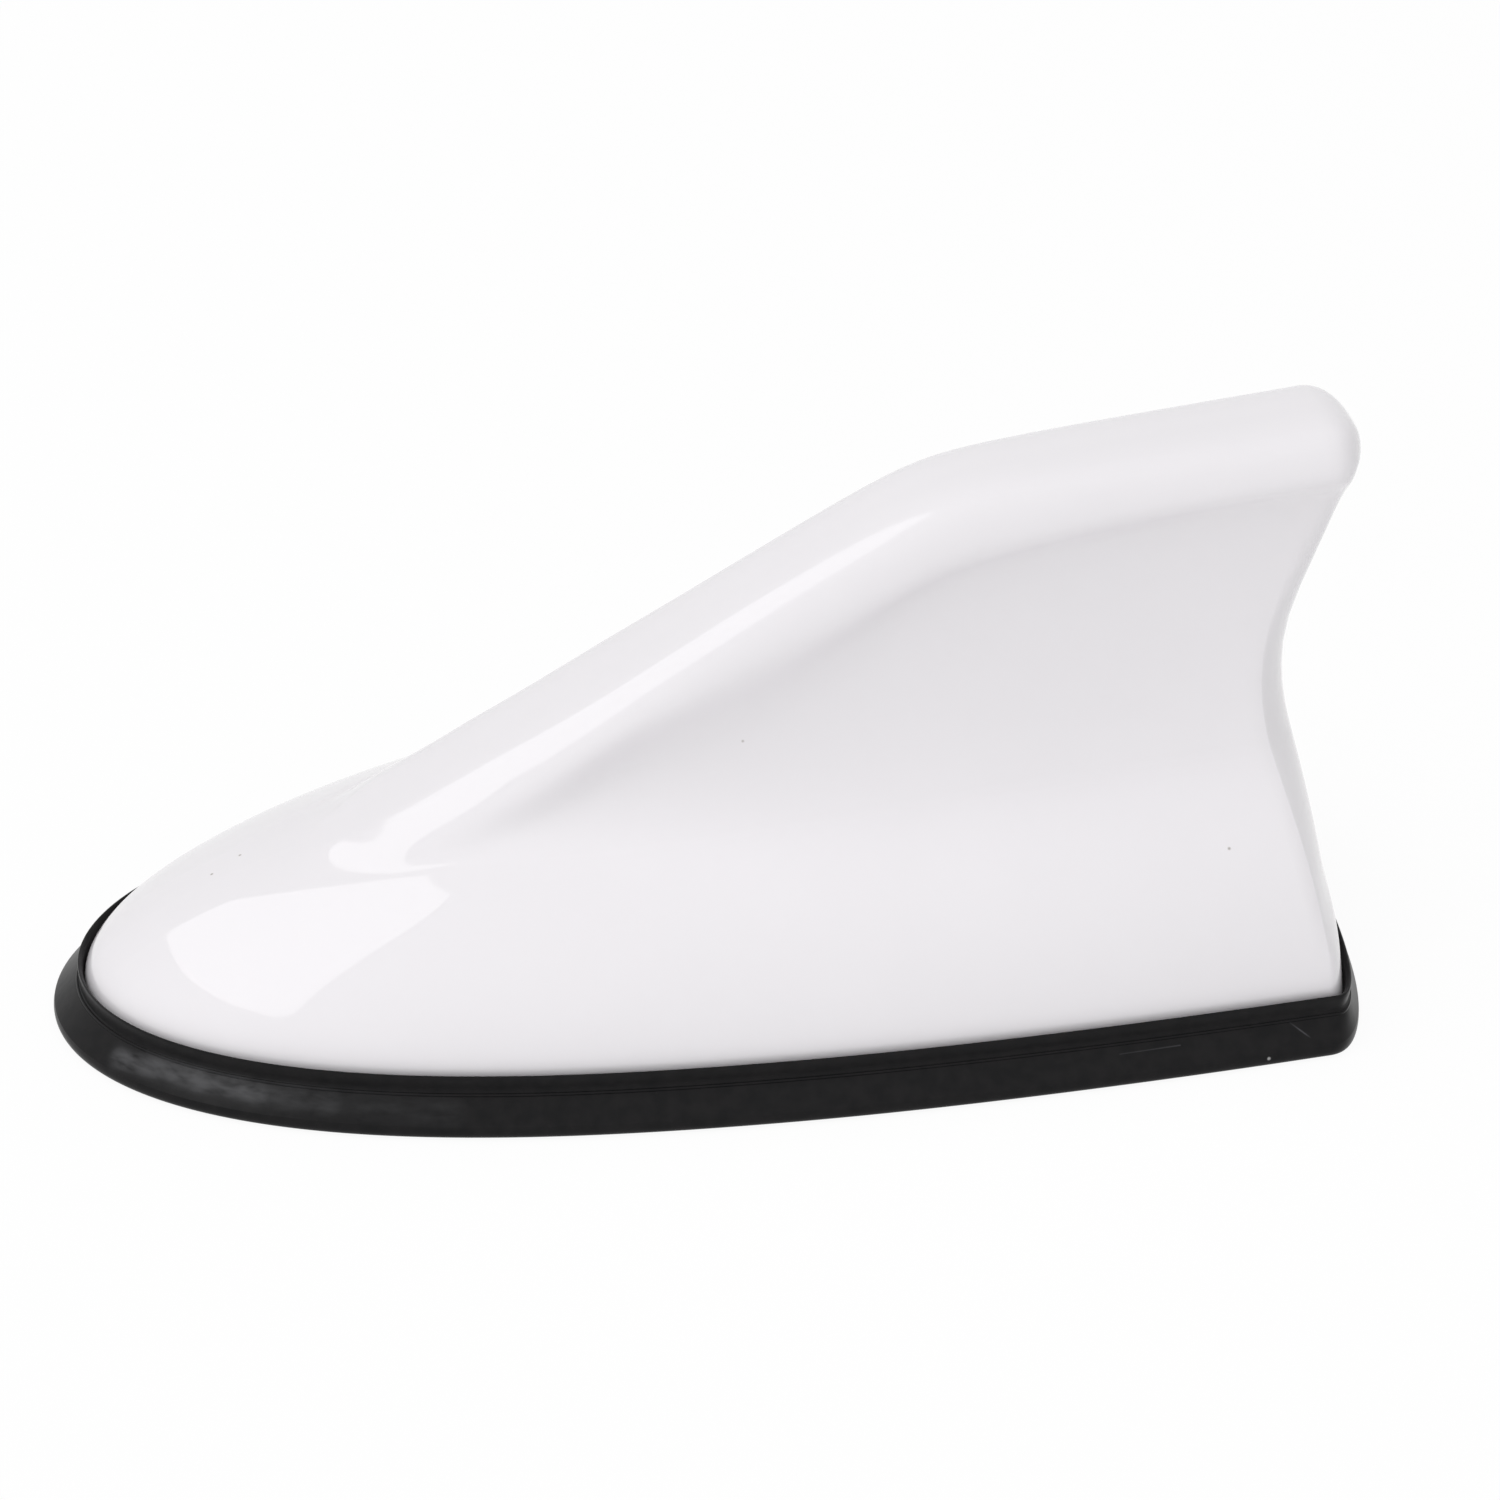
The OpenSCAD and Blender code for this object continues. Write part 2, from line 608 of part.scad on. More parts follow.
fin_shell();
gasket();
base_plate();
base_screws();
pad("front");  // pad_front
pad("left");  // pad_left
pad("right");  // pad_right
pad("rear");  // pad_rear
cable_gland();
circuit_board();
board_screws();
amplifier_chip();
shield_can();
tuning_coil();
capacitors();
lead_socket();
radiator_holder();
radiator();
contact_spring();
coil_former();
aerial_coil();
foam_cap();
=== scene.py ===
"""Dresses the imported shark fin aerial: gloss white shell, rubber gasket, base plate and electronics."""
import bpy
import math
import numpy as np
from mathutils import Matrix, Vector


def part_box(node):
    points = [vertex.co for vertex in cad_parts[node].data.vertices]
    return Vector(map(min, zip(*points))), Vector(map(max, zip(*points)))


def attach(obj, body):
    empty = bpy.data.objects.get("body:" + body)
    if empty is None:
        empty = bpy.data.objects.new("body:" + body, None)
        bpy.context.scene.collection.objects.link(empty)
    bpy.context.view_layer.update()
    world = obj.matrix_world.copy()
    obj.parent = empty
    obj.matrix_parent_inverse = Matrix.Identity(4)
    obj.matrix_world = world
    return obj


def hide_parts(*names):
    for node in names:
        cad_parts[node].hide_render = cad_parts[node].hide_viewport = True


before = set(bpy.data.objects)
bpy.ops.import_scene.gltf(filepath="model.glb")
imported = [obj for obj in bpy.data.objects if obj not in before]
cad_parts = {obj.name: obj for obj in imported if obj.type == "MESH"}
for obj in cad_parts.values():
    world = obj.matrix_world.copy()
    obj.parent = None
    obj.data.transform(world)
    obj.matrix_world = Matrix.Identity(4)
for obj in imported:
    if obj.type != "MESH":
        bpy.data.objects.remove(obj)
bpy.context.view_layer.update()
MM = 0.001

# Camera. The aerial stands on a table and is seen from a little above its nose's left side,
# through a long lens.
aim = Vector((0, 0, 32)) * MM
camera_distance = 780 * MM
camera_azimuth = math.radians(-11)
camera_elevation = math.radians(31)
camera_roll = math.radians(0.1)
pixels_per_mm = 7.911
aim_pixel = (701.7, 740.8)
photo_pixels = 1500
sensor = 36

toward_camera = Vector((math.sin(camera_azimuth) * math.cos(camera_elevation),
                        -math.cos(camera_azimuth) * math.cos(camera_elevation),
                        math.sin(camera_elevation)))
camera_data = bpy.data.cameras.new("camera")
camera_data.sensor_width = sensor
camera_data.lens = pixels_per_mm * camera_distance / MM * sensor / photo_pixels
camera_data.shift_x = (photo_pixels / 2 - aim_pixel[0]) / photo_pixels
camera_data.shift_y = (aim_pixel[1] - photo_pixels / 2) / photo_pixels
camera = bpy.data.objects.new("camera", camera_data)
bpy.context.scene.collection.objects.link(camera)
camera.rotation_euler = (toward_camera.to_track_quat("Z", "Y").to_matrix()
                         @ Matrix.Rotation(camera_roll, 3, "Z")).to_euler()
camera.location = aim + camera_distance * toward_camera
bpy.context.scene.camera = camera
bpy.context.scene.view_settings.view_transform = "Standard"


# Studio. A white sweep under the aerial in an even white room. One wide soft box hangs over the
# nose, with two flags that cut its corners, and its edges show in the gloss. Fills light the sides.
def new_material(name, color, roughness):
    material = bpy.data.materials.new(name)
    material.use_nodes = True
    nodes = material.node_tree.nodes
    nodes.clear()
    shader = nodes.new("ShaderNodeBsdfPrincipled")
    shader.inputs["Base Color"].default_value = (*color, 1)
    shader.inputs["Roughness"].default_value = roughness
    output = nodes.new("ShaderNodeOutputMaterial")
    material.node_tree.links.new(shader.outputs["BSDF"], output.inputs["Surface"])
    return material, nodes, material.node_tree.links, shader


def seen_at_all(nodes, links):
    """1 where the camera sees a surface, directly or in gloss or glass, and 0 where it lights others."""
    ray = nodes.new("ShaderNodeLightPath")
    seen = ray.outputs["Is Camera Ray"]
    for kind in ("Is Glossy Ray", "Is Transmission Ray"):
        either = nodes.new("ShaderNodeMath")
        either.operation = "MAXIMUM"
        links.new(seen, either.inputs[0])
        links.new(ray.outputs[kind], either.inputs[1])
        seen = either.outputs["Value"]
    return seen


room_light = 0.39
world = bpy.data.worlds.new("white room")
world.use_nodes = True
world_nodes = world.node_tree.nodes
world_links = world.node_tree.links
strength = world_nodes.new("ShaderNodeMapRange")
strength.inputs["To Min"].default_value = room_light
strength.inputs["To Max"].default_value = 1
world_links.new(seen_at_all(world_nodes, world_links), strength.inputs["Value"])
world_links.new(strength.outputs["Result"], world_nodes["Background"].inputs["Strength"])
world_nodes["Background"].inputs["Color"].default_value = (1, 1, 1, 1)
bpy.context.scene.world = world

# The sweep lies a hair under the gasket's foot, so that the two don't share a plane
sweep_drop = 0.1
bpy.ops.object.select_all(action="DESELECT")
bpy.ops.mesh.primitive_plane_add(size=8, location=(0, 0, -sweep_drop * MM))
sweep = bpy.context.object
sweep.name = "sweep"
sweep_white, nodes, links, shader = new_material("white sweep", (0.93, 0.93, 0.93), 0.9)
shader.inputs["Specular IOR Level"].default_value = 0.1
# The camera, mirrors and glass see it almost as white as the backdrop, with a faint shadow
sweep_glow = 0.93
glow_share = nodes.new("ShaderNodeMath")
glow_share.operation = "MULTIPLY"
glow_share.inputs[1].default_value = sweep_glow
links.new(seen_at_all(nodes, links), glow_share.inputs[0])
white_glow = nodes.new("ShaderNodeEmission")
brightened = nodes.new("ShaderNodeMixShader")
links.new(glow_share.outputs["Value"], brightened.inputs["Fac"])
links.new(shader.outputs["BSDF"], brightened.inputs[1])
links.new(white_glow.outputs["Emission"], brightened.inputs[2])
links.new(brightened.outputs["Shader"], nodes["Material Output"].inputs["Surface"])
sweep.data.materials.append(sweep_white)


def soft_box(name, azimuth, elevation, distance, width, height, power):
    """An area lamp that hangs in a direction from the aerial and faces it."""
    a, e = math.radians(azimuth), math.radians(elevation)
    direction = Vector((math.sin(a) * math.cos(e), -math.cos(a) * math.cos(e), math.sin(e)))
    lamp_data = bpy.data.lights.new(name, "AREA")
    lamp_data.shape = "RECTANGLE"
    lamp_data.size = width
    lamp_data.size_y = height
    lamp_data.energy = power
    lamp = bpy.data.objects.new(name, lamp_data)
    bpy.context.scene.collection.objects.link(lamp)
    lamp.location = distance * direction
    lamp.rotation_euler = direction.to_track_quat("Z", "Y").to_euler()
    return lamp


def flag(lamp, out, up, reach):
    """Cuts a soft box off where out and up across it, in metres, add to more than the reach."""
    nodes, links = lamp.data.node_tree.nodes, lamp.data.node_tree.links
    width, height = lamp.data.size, lamp.data.size_y
    across = nodes.new("ShaderNodeVectorMath")
    across.operation = "DOT_PRODUCT"
    across.inputs[1].default_value = (out * width, up * height, 0)
    links.new(nodes["Geometry"].outputs["Parametric"], across.inputs[0])
    kept = nodes.new("ShaderNodeMath")
    kept.operation = "LESS_THAN"
    kept.inputs[1].default_value = reach + (out * width + up * height) / 2
    links.new(across.outputs["Value"], kept.inputs[0])
    product = nodes.new("ShaderNodeMath")
    product.operation = "MULTIPLY"
    emission = nodes["Emission"].inputs["Strength"]
    product.inputs[0].default_value = 1
    if emission.is_linked:
        links.new(emission.links[0].from_socket, product.inputs[0])
    links.new(kept.outputs["Value"], product.inputs[1])
    links.new(product.outputs["Value"], emission)


over_nose = soft_box("soft box over the nose", azimuth=-95, elevation=60, distance=1.5,
                     width=2.05, height=0.88, power=8.8)
over_nose.data.use_nodes = True
over_nose.data.node_tree.nodes.new("ShaderNodeNewGeometry")
flag(over_nose, out=-0.55, up=0.83, reach=0.36)
flag(over_nose, out=0.54, up=0.84, reach=0.29)
top_fill = soft_box("top fill", azimuth=0, elevation=85, distance=2.5,
                    width=3, height=3, power=33.5)
front_fill = soft_box("front fill", azimuth=-20, elevation=15, distance=2.5,
                      width=3, height=1.6, power=18.5)
for fill in (top_fill, front_fill):
    fill.visible_glossy = False

# Fin shell. One moulding in gloss white plastic: a long dome that fills the gasket, and a fin
# that stands on it with a rounded ridge, sides drawn in under the ridge and a foot that flares
# out onto the dome. It is screwed down onto the base plate from below.
lip_length, lip_width = 160, 75.6
nose_power, rear_taper = 4.2, 0.06
rear_round, rear_power = 5.2, 2.4
skirt_out, skirt_cut, skirt_round = 3.3, 0.36, 1.3
lip_gap, tip_back, tip_round, tip_drop = 0.8, 4.6, 6, 5.6
rear_out, tip_out = 0.8, 0.4
rim_part, tip_start, tip_part = 0.13, 0.7, 0.3
waist_powers, tip_powers = (2, 1.15), (1.7, 2.4)
waist_part, blunt_start, blunt_part = 0.2, 0.6, 0.3
waist_in = 4.3
waist_steps, tip_steps = (-0.24, -0.67, -1.26, -0.95), (0.15, 1)
dome_height, dome_rise, dome_length, dome_power = 20, 12.6, 52, 1.4
side_round = 1.92
slope_foot_height, slope_angle = 25.8, math.radians(31.8)
ridge_height, ridge_angle, ridge_bow, ridge_bend = 67.4, math.radians(4.4), -0.7, 3.4
dip_blend, ridge_half = 7.5, 8
shoulder_depth, beam_out, neck_in = 6, 2.2, 1.8
shoulder_steps = (0.45, 0.45, 0.45, 0.5, 1.6, 1, 1, 1)
root_half = 16.2
# Shares of the length: the fin takes over from the dome, its ridge turns crisp, its side stops leaning
fin_start, fin_part = 0.17, 0.09
crisp_start, crisp_part = 0.5, 0.2
lean_end, lean_part = 0.65, 0.3
# The fin is a hump while it rises this far over the dome, and upright once it has gained the rest
hump_rise, upright_gain = 5, 14
rim_z = 4.7
wall = 2.2
shell_columns, shell_rows = 150, 120
tip_reach = 0.98 * tip_back - lip_gap
nose_x = -(lip_length + tip_reach - skirt_out) / 2
tail_x = nose_x + lip_length
foot_x = nose_x + lip_length / 4
bend_x = tail_x - 3 / 8 * lip_length


def clamp(value, low, high):
    return min(max(value, low), high)


def ease(share):
    share = clamp(share, 0, 1)
    return share * share * (3 - 2 * share)


def smooth_max(a, b, soft):
    return (a + b + math.sqrt((a - b) ** 2 + soft ** 2)) / 2


def smooth_min(a, b, soft):
    return -smooth_max(-a, -b, soft)


def spline_at(q, u):
    """A point on the cubic B-spline of control values q, u from 0 to the number of its spans."""
    i = min(int(u), len(q) - 4)
    t = u - i
    return ((1 - t) ** 3 * q[i] + (3 * t ** 3 - 6 * t ** 2 + 4) * q[i + 1]
            + (-3 * t ** 3 + 3 * t ** 2 + 3 * t + 1) * q[i + 2] + t ** 3 * q[i + 3]) / 6


def side_x(t, inset, depth=rear_round):
    return nose_x + inset + (lip_length - 2 * inset - depth) * t


def side_w(t, inset):
    taper = rear_taper * max(0, (t - 0.55) / 0.45) ** 2
    return (lip_width / 2 - inset) * math.sqrt(1 - (1 - t) ** nose_power) * (1 - taper)


def dome_z(x):
    back = x - nose_x - lip_gap
    run = clamp(back / dome_length, 0, 1)
    crown = dome_height + dome_rise * clamp(back / lip_length, 0, 1)
    return rim_z + crown * math.sqrt(1 - (1 - run) ** dome_power)


def spine_z(x):
    """Height of the shell's middle line: dome, front slope and ridge."""
    run = clamp((x - nose_x - lip_gap) / dome_length, 0, 1)
    slope = slope_foot_height + (x - foot_x) * math.tan(slope_angle)
    back = (x - bend_x) / (tail_x - bend_x)
    ridge = ridge_height + (x - bend_x) * math.tan(ridge_angle) - ridge_bow * back * abs(back)
    if run == 0:
        return rim_z
    return smooth_max(dome_z(x), smooth_min(slope, ridge, ridge_bend), dip_blend * run)


def rim_share(z):
    return (z - rim_z) / (ridge_height - rim_z)


def rear_shift(z):
    """How far the rear edge lies behind the rim's rear: in at the waist, out at the tip."""
    c = [step * waist_in for step in waist_steps] + [step * tip_back for step in tip_steps]
    share = clamp(rim_share(z), 0, 0.999)
    out = rear_out * ease(share / rim_part) + (tip_out - rear_out) * ease((share - tip_start) / tip_part)
    return spline_at([-c[0], 0] + c + [2 * c[5] - c[4]], 6 * share) + out


def rear_depth(z):
    return rear_round + (tip_round - rear_round) * clamp(rim_share(z), 0, 1)


def dome_arc(half, height, power, angle):
    return np.array((half * math.cos(angle) ** (2 / power),
                     rim_z + height * math.sin(angle) ** (2 / power)))


def section_controls(t):
    """Half section at a station, from the ridge's middle down to the rim, as (across, height)."""
    x = side_x(t, lip_gap)
    half, top, crown = side_w(t, lip_gap), spine_z(x), dome_z(x) - rim_z
    blend = ease((t - fin_start) / fin_part)
    ridge = min(ridge_half, 0.6 * half)
    beam = ridge + beam_out
    neck = beam - neck_in
    root = min(root_half * (1 - 1.25 * clamp(1 - t / 0.6, 0, 0.8) ** 3), 0.8 * half)
    root_angle = math.acos((root / half) ** (side_round / 2))
    root_z = dome_arc(half, crown, side_round, root_angle)[1]
    rise = top - root_z
    depth = shoulder_depth * spline_at(shoulder_steps, 5 * t)
    # The ridge's lower edge grows crisp towards the rear, and the side leans out towards the front
    crisp = ease((t - crisp_start) / crisp_part)
    lean = clamp((lean_end - t) / lean_part, 0, 1)
    upright = [(ridge, top - 0.2 * depth), (beam, top - 0.85 * depth),
               (beam - 0.5 + 0.2 * crisp, top - (1.25 - 0.13 * crisp) * depth),
               (neck - 1.4 * crisp, top - (2.1 - 0.5 * crisp) * depth),
               (neck + (0.3 + 0.35 * lean) * (root - neck), top - 0.7 * rise - 0.6 * depth)]
    hump = [(0.48 * root, top - 0.1 * rise), (0.65 * root, top - 0.33 * rise),
            (0.76 * root, top - 0.57 * rise), (0.85 * root, top - 0.79 * rise),
            (0.92 * root, top - 0.93 * rise)]
    stand = ease((rise - hump_rise) / upright_gain)
    fin = [np.array((0, top)), np.array((0.62 * ridge, top))]
    fin += [np.array(h) * (1 - stand) + np.array(u) * stand for h, u in zip(hump, upright)]
    angles = [math.pi / 2 - (math.pi / 2 - root_angle) * k / 8 for k in range(8)]
    angles += [root_angle * k / 4 for k in (4, 3, 2, 1, 0)]
    dome = [dome_arc(half, crown, side_round, angle) for angle in angles]
    fin += dome[8:9] + dome[8:]
    return [d * (1 - blend) + f * blend for d, f in zip(dome, fin)]


def surface_piece(name, columns, rows, place):
    """A grid, bent so that place(u, v) gives each point in millimetres, closed along its seams."""
    bpy.ops.object.select_all(action="DESELECT")
    bpy.ops.mesh.primitive_grid_add(x_subdivisions=columns, y_subdivisions=rows, size=1)
    piece = bpy.context.object
    piece.name = name
    for vertex in piece.data.vertices:
        vertex.co = Vector(place(vertex.co.x + 0.5, vertex.co.y + 0.5)) * MM
    bpy.ops.object.mode_set(mode="EDIT")
    bpy.ops.mesh.select_all(action="SELECT")
    bpy.ops.mesh.remove_doubles(threshold=0.005 * MM)
    bpy.ops.mesh.normals_make_consistent(inside=False)
    bpy.ops.object.mode_set(mode="OBJECT")
    bpy.ops.object.shade_smooth()
    return piece


def rear_powers(share):
    """How square the rear end is in plan: full at the rim, crisp at the waist, blunt at the tip."""
    rise, top = ease(share / waist_part), ease((share - blunt_start) / blunt_part)
    return [rear_power + (at_waist - rear_power) * rise + (at_tip - at_waist) * top
            for at_waist, at_tip in zip(waist_powers, tip_powers)]


side_share = 0.76
section_cache = {}


def shell_point(u, v):
    """Point of the shell at a share u of its length and v across, from one rim to the other."""
    t = 1 - math.cos(math.pi / 2 * min(u / side_share, 1))
    turn = math.pi / 2 * max(u - side_share, 0) / (1 - side_share)
    if u not in section_cache:
        c = section_controls(max(t, 1e-5))
        section_cache[u] = [c[0], c[0]] + c + [c[-1], c[-1]]
    controls = section_cache[u]
    across, z = spline_at(controls, (len(controls) - 3) * abs(2 * v - 1))
    if u <= side_share:
        x = side_x(t, lip_gap) + (rear_shift(z) + rear_round - rear_depth(z)) * t ** 4
    else:
        across_power, back_power = rear_powers(rim_share(z))
        close = max(math.cos(turn), 0) ** (2 / across_power)
        back = math.sin(turn) ** (2 / back_power)
        z = rim_z + (z - rim_z) * (1 - tip_drop / ridge_height * (1 - close))
        across *= close
        x = tail_x - lip_gap + rear_shift(z) - rear_depth(z) * (1 - back)
    return x, across * (1 if v > 0.5 else -1), z


fin_shell = surface_piece("gloss_shell", shell_columns, shell_rows, shell_point)
bpy.ops.object.modifier_add(type="SOLIDIFY")
fin_shell.modifiers[-1].thickness = wall * MM
fin_shell.modifiers[-1].offset = -1
bpy.ops.object.modifier_apply(modifier=fin_shell.modifiers[-1].name)


def field_of_noise(nodes, links, scale, stretch=(1, 1, 1)):
    """Soft noise fixed to the piece, in features a metre, finer along the stretched axes."""
    place = nodes.new("ShaderNodeTexCoord")
    spread = nodes.new("ShaderNodeMapping")
    spread.inputs["Scale"].default_value = stretch
    links.new(place.outputs["Object"], spread.inputs["Vector"])
    noise = nodes.new("ShaderNodeTexNoise")
    noise.inputs["Scale"].default_value = scale
    links.new(spread.outputs["Vector"], noise.inputs["Vector"])
    return noise.outputs["Fac"]


def two_tone(nodes, links, shader, field, low, high, low_at=0.35, high_at=0.65):
    """Colours a finish from low to high as the field rises."""
    ramp = nodes.new("ShaderNodeValToRGB")
    ramp.color_ramp.elements[0].position = low_at
    ramp.color_ramp.elements[0].color = (*low, 1)
    ramp.color_ramp.elements[1].position = high_at
    ramp.color_ramp.elements[1].color = (*high, 1)
    links.new(field, ramp.inputs["Fac"])
    links.new(ramp.outputs["Color"], shader.inputs["Base Color"])


def relief(nodes, links, shader, field, depth):
    """Raises a finish by a depth in millimetres where the field is 1."""
    bump = nodes.new("ShaderNodeBump")
    bump.inputs["Strength"].default_value = 1
    bump.inputs["Distance"].default_value = depth * MM
    links.new(field, bump.inputs["Height"])
    links.new(bump.outputs["Normal"], shader.inputs["Normal"])


def mark(nodes, links, shader, start, end, half_width, color, broken=None):
    """Draws a fleck, a scratch or a stretch of painted sheen between two points in millimetres, broken up
    by a field if given.
    """
    start, along = Vector(start) * MM, (Vector(end) - Vector(start)) * MM
    place = nodes.new("ShaderNodeTexCoord")
    from_start = nodes.new("ShaderNodeVectorMath")
    from_start.operation = "SUBTRACT"
    from_start.inputs[1].default_value = start
    links.new(place.outputs["Object"], from_start.inputs[0])
    share = nodes.new("ShaderNodeVectorMath")
    share.operation = "DOT_PRODUCT"
    share.inputs[1].default_value = along / max(along.length_squared, 1e-12)
    links.new(from_start.outputs["Vector"], share.inputs[0])
    held = nodes.new("ShaderNodeClamp")
    links.new(share.outputs["Value"], held.inputs["Value"])
    nearest = nodes.new("ShaderNodeVectorMath")
    nearest.operation = "SCALE"
    nearest.inputs[0].default_value = along
    links.new(held.outputs["Result"], nearest.inputs["Scale"])
    distance = nodes.new("ShaderNodeVectorMath")
    distance.operation = "DISTANCE"
    links.new(from_start.outputs["Vector"], distance.inputs[0])
    links.new(nearest.outputs["Vector"], distance.inputs[1])
    inside = nodes.new("ShaderNodeMapRange")
    inside.inputs["From Min"].default_value = half_width * MM
    inside.inputs["From Max"].default_value = 0.3 * half_width * MM
    links.new(distance.outputs["Value"], inside.inputs["Value"])
    kept = nodes.new("ShaderNodeMath")
    kept.operation = "MULTIPLY"
    kept.inputs[1].default_value = 1
    links.new(inside.outputs["Result"], kept.inputs[0])
    if broken:
        links.new(broken, kept.inputs[1])
    mixed = nodes.new("ShaderNodeMixRGB")
    links.new(kept.outputs["Value"], mixed.inputs["Fac"])
    links.new(shader.inputs["Base Color"].links[0].from_socket, mixed.inputs["Color1"])
    mixed.inputs["Color2"].default_value = (*color, 1)
    links.new(mixed.outputs["Color"], shader.inputs["Base Color"])


shell_white, nodes, links, shader = new_material("gloss white moulding", (0.82, 0.8, 0.825), 0.02)
two_tone(nodes, links, shader, field_of_noise(nodes, links, 60),
         (0.817, 0.797, 0.822), (0.823, 0.803, 0.828))
relief(nodes, links, shader, field_of_noise(nodes, links, 300), 0.001)
dust_brown, fleck_half_width = (0.42, 0.39, 0.37), 0.28
for fleck in ((3.4, -9.3, 37.1), (62.2, -26, 24.6), (-58.8, 3.1, 20), (-62.6, 1.6, 18.5)):
    mark(nodes, links, shader, fleck, fleck, fleck_half_width, dust_brown)
fin_shell.data.materials.append(shell_white)
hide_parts("fin_shell")
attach(fin_shell, "root")

# Gasket. One ring of black rubber. Its upright lip grips the shell, its flange is clamped between
# the shell's rim and the base plate, and its skirt spreads on the roof to keep the rain out.
lip_height, flange_in, seat_gap = 7.2, 4.2, 0.1
plate_top = 3.5
plate_in = lip_gap + 1.9
lip_in = lip_gap - seat_gap
# Section as distance out from the lip's edge line and height above the roof
foot_line = [(skirt_out - 0.7, 0), (skirt_out - 0.25, 0.2), (skirt_out, 0.7), (skirt_out, 1.3),
             (skirt_out - 0.15, 1.8)]
skirt_line = [(skirt_out - 0.15, 1.8), (skirt_out - 0.6, 2.25), (0.7, 4.05), (0.28, 4.4)]
# A fine bead of rubber runs along the crease between skirt and lip
bead_line = [(0.28, 4.4), (0.36, 4.62), (0.2, 4.82), (0, 4.75)]
lip_line = [(0, 4.75), (-0.22, rim_z + 0.2), (-0.1, lip_height - 1.4), (0.05, lip_height - 0.3),
            (-0.03, lip_height), (0.1 - 0.5 * lip_in, lip_height), (-0.8 * lip_in, lip_height - 0.5),
            (-lip_in, lip_height - 1.5), (-lip_in, rim_z)]
flange_line = [(-lip_gap - flange_in, rim_z), (-lip_gap - flange_in, plate_top),
               (seat_gap - plate_in, plate_top), (seat_gap - plate_in, 0)]


def smooth_line(points, fineness=5):
    """The same line with its inner corners rounded by a spline, its ends kept."""
    q = [2 * np.array(points[0]) - np.array(points[1])] + [np.array(p, float) for p in points]
    q += [2 * q[-1] - q[-2]]
    spans = len(q) - 3
    return [spline_at(q, spans * k / (spans * fineness)) for k in range(spans * fineness + 1)]


gasket_section = smooth_line(foot_line)
for line in (skirt_line, bead_line, lip_line):
    gasket_section += smooth_line(line)[1:]
gasket_section += [np.array(p, float) for p in flange_line]
gasket_columns, gasket_rows = 260, len(gasket_section)


def gasket_point(u, v):
    """Point of the gasket a share u round its outline, from nose to nose, and v round its section."""
    out, z = gasket_section[round(v * gasket_rows) % gasket_rows]
    way = min(2 * u, 2 - 2 * u)
    t = 1 - math.cos(math.pi / 2 * min(way / side_share, 1))
    turn = math.pi / 2 * max(way - side_share, 0) / (1 - side_share)
    skirt = max(out, 0)
    depth = rear_round + skirt_round * skirt
    x = side_x(t, skirt * skirt_cut * t ** 12 - out, depth) + depth * math.sin(turn) ** (2 / rear_power)
    across = side_w(t, -out) * max(math.cos(turn), 0) ** (2 / rear_power)
    return x, across * (1 if u < 0.5 else -1), z


gasket = surface_piece("rubber_gasket", gasket_columns, gasket_rows, gasket_point)
bpy.ops.object.shade_smooth_by_angle(angle=math.radians(25))
rubber, nodes, links, shader = new_material("black rubber", (0.006, 0.006, 0.007), 0.32)
shader.inputs["Specular IOR Level"].default_value = 0.14
two_tone(nodes, links, shader, field_of_noise(nodes, links, 500),
         (0.0045, 0.0045, 0.005), (0.008, 0.0075, 0.008))
relief(nodes, links, shader, field_of_noise(nodes, links, 700, (1, 1, 2)), 0.02)
# Painted sheen: the soft box's reflection on the skirt left of the nose, painted lighter grey in streaks
sheen_line = [(-77, -14.5, 3.2), (-67.8, -22, 3.5), (-60.9, -26.1, 3.5), (-52.6, -29.6, 3.4),
             (-38, -34.4, 3.2)]
# Noise that breaks the painted sheen into streaks
sheen_streaks = nodes.new("ShaderNodeMapRange")
sheen_streaks.inputs["From Min"].default_value = 0.25
sheen_streaks.inputs["From Max"].default_value = 0.7
links.new(field_of_noise(nodes, links, 600, (0.5, 0.5, 2)), sheen_streaks.inputs["Value"])
# The painted sheen in three layers, from a wide dim band to a narrow bright core
for half_width, stretches, sheen_grey in ((2.4, 4, 0.018), (2, 3, 0.034), (1.6, 2, 0.07)):
    for start, end in zip(sheen_line[:stretches], sheen_line[1:stretches + 1]):
        mark(nodes, links, shader, start, end, half_width, (sheen_grey, sheen_grey, 1.05 * sheen_grey),
             sheen_streaks.outputs["Result"])
scuff_grey, scratch_half_width = (0.055, 0.055, 0.06), 0.14
scratches = [((67.8, -35.8, 4.6), (69.4, -36.9, 3.6)), ((69.4, -36.9, 3.6), (71.1, -38.1, 2.6)),
             ((45.8, -38, 3.6), (53.7, -37.6, 3.7)), ((-12.7, -36.4, 4.2), (-13.3, -39.2, 0.8)),
             ((-72, -18.9, 3.3), (-64, -24.1, 3.4)), ((-62, -25.6, 3), (-52, -29.9, 3.1))]
for start, end in scratches:
    mark(nodes, links, shader, start, end, scratch_half_width, scuff_grey)
dust, dust_grey, dust_half_width = (64.9, -39.1, 1.3), (0.35, 0.35, 0.35), 0.3
mark(nodes, links, shader, dust, dust, dust_half_width, dust_grey)
gasket.data.materials.append(rubber)
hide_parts("gasket")
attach(gasket, "root")


# Base plate. A black plastic moulding that closes the shell from below, with a fine spark-eroded
# grain. It holds the gasket's flange against the shell's rim and has posts for the board.
def dress(finish, *names):
    """Gives solids of the frame their finish."""
    for name in names:
        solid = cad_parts[name]
        solid.data.materials.clear()
        solid.data.materials.append(finish)


plate_black, nodes, links, shader = new_material("grained black plastic", (0.03, 0.03, 0.032), 0.5)
two_tone(nodes, links, shader, field_of_noise(nodes, links, 1500),
         (0.024, 0.024, 0.026), (0.036, 0.036, 0.038))
relief(nodes, links, shader, field_of_noise(nodes, links, 2500), 0.03)
dress(plate_black, "base_plate")

